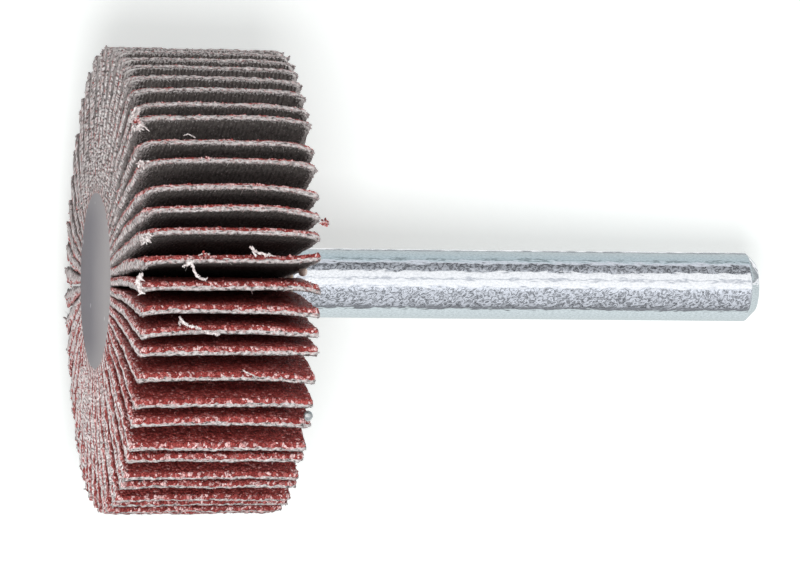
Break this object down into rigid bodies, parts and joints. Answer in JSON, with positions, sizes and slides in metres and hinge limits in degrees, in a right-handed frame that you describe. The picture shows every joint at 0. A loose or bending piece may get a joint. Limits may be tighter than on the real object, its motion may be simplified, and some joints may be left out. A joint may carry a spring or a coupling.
{
  "type": "flap wheel",
  "caption": "Abrasive flap wheel: grit-coated cloth flaps cast in a resin core on a plain round steel spindle, for grinding and polishing with a drill or die grinder.",
  "frame": {"origin": "centre of the front disc's face, which the wheel stands on", "axes": "+Z along the spindle, from the front disc towards the shank's free end"},
  "size_m": [0.0404, 0.0404, 0.0585],
  "materials": {
    "zinc_steel": "bright zinc-plated steel with a fine drawn grain, pale and slightly blue",
    "cast_resin": "smooth cast epoxy resin, lavender grey, semi-matt with a few pale specks",
    "abrasive_cloth": "brown-red aluminium oxide grit on grey cotton cloth, edges cut and slightly frayed"
  },
  "bodies": {
    "root": {"spindle": "zinc_steel", "resin_core": "cast_resin", "flap_01": "abrasive_cloth", "flap_02": "abrasive_cloth", "flap_03": "abrasive_cloth", "flap_04": "abrasive_cloth", "flap_05": "abrasive_cloth", "flap_06": "abrasive_cloth", "flap_07": "abrasive_cloth", "flap_08": "abrasive_cloth", "flap_09": "abrasive_cloth", "flap_10": "abrasive_cloth", "flap_11": "abrasive_cloth", "flap_12": "abrasive_cloth", "flap_13": "abrasive_cloth", "flap_14": "abrasive_cloth", "flap_15": "abrasive_cloth", "flap_16": "abrasive_cloth", "flap_17": "abrasive_cloth", "flap_18": "abrasive_cloth", "flap_19": "abrasive_cloth", "flap_20": "abrasive_cloth", "flap_21": "abrasive_cloth", "flap_22": "abrasive_cloth", "flap_23": "abrasive_cloth", "flap_24": "abrasive_cloth", "flap_25": "abrasive_cloth", "flap_26": "abrasive_cloth", "flap_27": "abrasive_cloth", "flap_28": "abrasive_cloth", "flap_29": "abrasive_cloth", "flap_30": "abrasive_cloth", "flap_31": "abrasive_cloth", "flap_32": "abrasive_cloth", "flap_33": "abrasive_cloth", "flap_34": "abrasive_cloth", "flap_35": "abrasive_cloth", "flap_36": "abrasive_cloth", "flap_37": "abrasive_cloth", "flap_38": "abrasive_cloth", "flap_39": "abrasive_cloth", "flap_40": "abrasive_cloth", "flap_41": "abrasive_cloth", "flap_42": "abrasive_cloth", "flap_43": "abrasive_cloth", "flap_44": "abrasive_cloth", "flap_45": "abrasive_cloth", "flap_46": "abrasive_cloth", "flap_47": "abrasive_cloth", "flap_48": "abrasive_cloth", "flap_49": "abrasive_cloth", "flap_50": "abrasive_cloth", "flap_51": "abrasive_cloth", "flap_52": "abrasive_cloth", "flap_53": "abrasive_cloth", "flap_54": "abrasive_cloth", "flap_55": "abrasive_cloth", "flap_56": "abrasive_cloth", "flap_57": "abrasive_cloth", "flap_58": "abrasive_cloth"}
  },
  "joints": []
}
